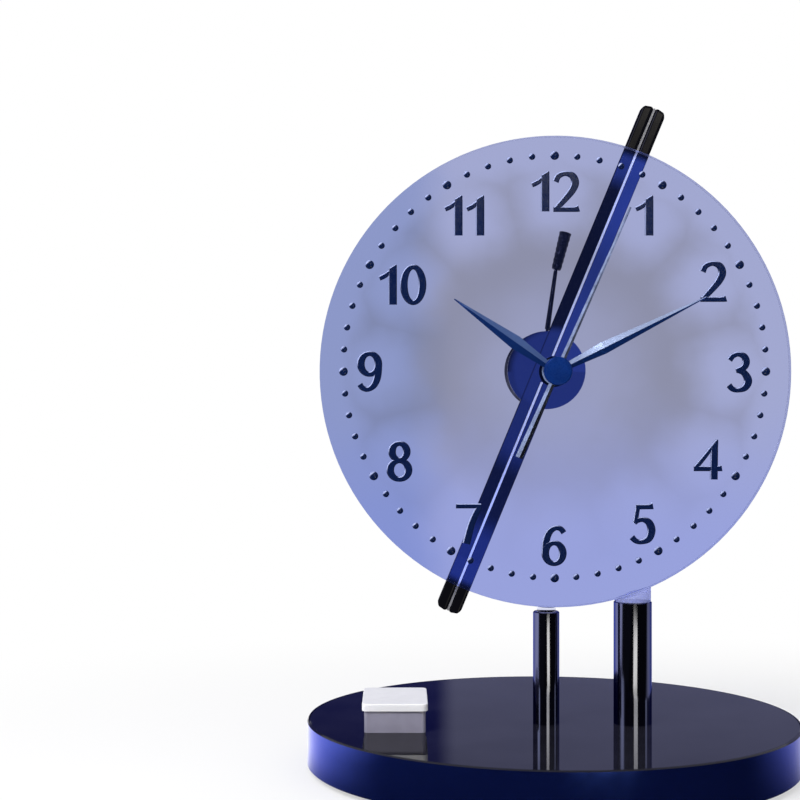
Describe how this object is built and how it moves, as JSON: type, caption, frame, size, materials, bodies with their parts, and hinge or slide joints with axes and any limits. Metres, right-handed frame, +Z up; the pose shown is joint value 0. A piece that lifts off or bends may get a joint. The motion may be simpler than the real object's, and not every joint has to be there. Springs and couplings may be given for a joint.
{
  "type": "mystery clock",
  "caption": "Table clock with a see-through dial on two posts over a round base, hands driven from a hub capsule behind the glass, a twin-rail bar across the back and a push key.",
  "frame": {"origin": "on the table, under the centre of the round base", "axes": "+Z up, -Y towards the viewer of the dial, +X to the viewer's right"},
  "size_m": [0.212, 0.212, 0.2843],
  "materials": {
    "lacquer": "high-gloss blue-black lacquer",
    "black_glass": "polished black glass",
    "black_chrome": "polished black chrome",
    "dial_tint": "lilac see-through glass, edge lit",
    "clear_acrylic": "clear, polished",
    "blued_steel": "blued and polished",
    "bright_steel": "bright",
    "brass": "satin",
    "copper_wire": "enamelled winding",
    "magnet": "matt",
    "ballast_steel": "matt",
    "rubber": "matt",
    "black_plastic": "fine grain",
    "grey_plastic": "satin",
    "white_plastic": "satin",
    "circuit_board": "solder mask",
    "cell_jacket": "plain printed jacket",
    "lead_jacket": "smooth",
    "lamp_lens": "clear resin"
  },
  "bodies": {
    "stand": {"base_shell": "lacquer", "top_plate": "black_glass", "bottom_cover": "black_plastic", "cover_screws": "bright_steel", "rubber_feet": "rubber", "ballast_ring": "ballast_steel", "battery_tray": "black_plastic", "battery_cells": "cell_jacket", "battery_contacts": "bright_steel", "battery_door": "black_plastic", "door_screw": "bright_steel", "light_board": "circuit_board", "board_terminals": "grey_plastic", "board_screws": "bright_steel", "thin_post_lead": "lead_jacket", "thick_post_lead": "lead_jacket", "battery_leads": "lead_jacket", "key_lead": "lead_jacket", "thin_post": "black_chrome", "thick_post": "black_chrome", "post_washers": "bright_steel", "post_nuts": "bright_steel", "post_lamps": "lamp_lens", "thin_saddle": "clear_acrylic", "thick_saddle": "clear_acrylic", "dial_glass": "dial_tint", "minute_pips": "blued_steel", "dial_washer": "bright_steel", "dial_nut": "blued_steel", "dial_gasket": "rubber", "carrier_bar": "black_chrome", "bar_inlays": "bright_steel", "capsule_case": "black_chrome", "capsule_cover": "black_chrome", "capsule_screws": "bright_steel", "movement_plate": "brass", "plate_screws": "bright_steel", "motor_stator": "bright_steel", "motor_coil": "copper_wire", "movement_board": "circuit_board", "coin_cell": "bright_steel", "cell_spring": "bright_steel", "lever_pin": "bright_steel", "key_housing": "grey_plastic", "key_screws": "bright_steel", "key_switch": "black_plastic"},
    "seconds": {"seconds_arbor": "bright_steel", "rotor_magnet": "magnet", "second_hand": "blued_steel", "centre_cap": "blued_steel"},
    "third": {"third_wheel": "brass"},
    "minute": {"minute_wheel": "brass", "minute_hand": "blued_steel"},
    "motion": {"motion_wheel": "brass"},
    "hour": {"hour_wheel": "brass", "hour_hand": "blued_steel"},
    "setting": {"setting_knob": "black_plastic"},
    "stop_lever": {"stop_lever": "black_chrome", "lever_grip": "black_plastic"},
    "light_key": {"key_cap": "white_plastic"}
  },
  "joints": [
    {"name": "minute_turn", "type": "hinge", "parent": "stand", "child": "minute", "pos_m": [0, 0, 0.1705], "axis": [0, 1, 0], "continuous": true},
    {"name": "hour_turn", "type": "hinge", "parent": "stand", "child": "hour", "pos_m": [0, 0, 0.1705], "axis": [0, 1, 0], "continuous": true},
    {"name": "motion_turn", "type": "hinge", "parent": "stand", "child": "motion", "pos_m": [0.003, 0, 0.1653], "axis": [0, 1, 0], "continuous": true},
    {"name": "setting_turn", "type": "hinge", "parent": "stand", "child": "setting", "pos_m": [0, 0, 0.16011], "axis": [0, 1, 0], "continuous": true},
    {"name": "third_turn", "type": "hinge", "parent": "stand", "child": "third", "pos_m": [-0.00748, 0, 0.1705], "axis": [0, 1, 0], "continuous": true},
    {"name": "seconds_turn", "type": "hinge", "parent": "stand", "child": "seconds", "pos_m": [0, 0, 0.1705], "axis": [0, 1, 0], "continuous": true},
    {"name": "lever_swing", "type": "hinge", "parent": "stand", "child": "stop_lever", "pos_m": [-0.0027, 0, 0.1817], "axis": [0, 1, 0], "range_deg": [-8.5, 0]},
    {"name": "key_press", "type": "slide", "parent": "stand", "child": "light_key", "axis": [0, 0, -1], "range_m": [0, 0.0012], "stiffness_N_per_m": 800}
  ],
  "couplings": [
    {"joint": "hour_turn", "follows": "minute_turn", "ratio": 0.083333},
    {"joint": "motion_turn", "follows": "minute_turn", "ratio": -0.33333},
    {"joint": "setting_turn", "follows": "minute_turn", "ratio": 1},
    {"joint": "third_turn", "follows": "minute_turn", "ratio": -8},
    {"joint": "seconds_turn", "follows": "minute_turn", "ratio": 60}
  ]
}
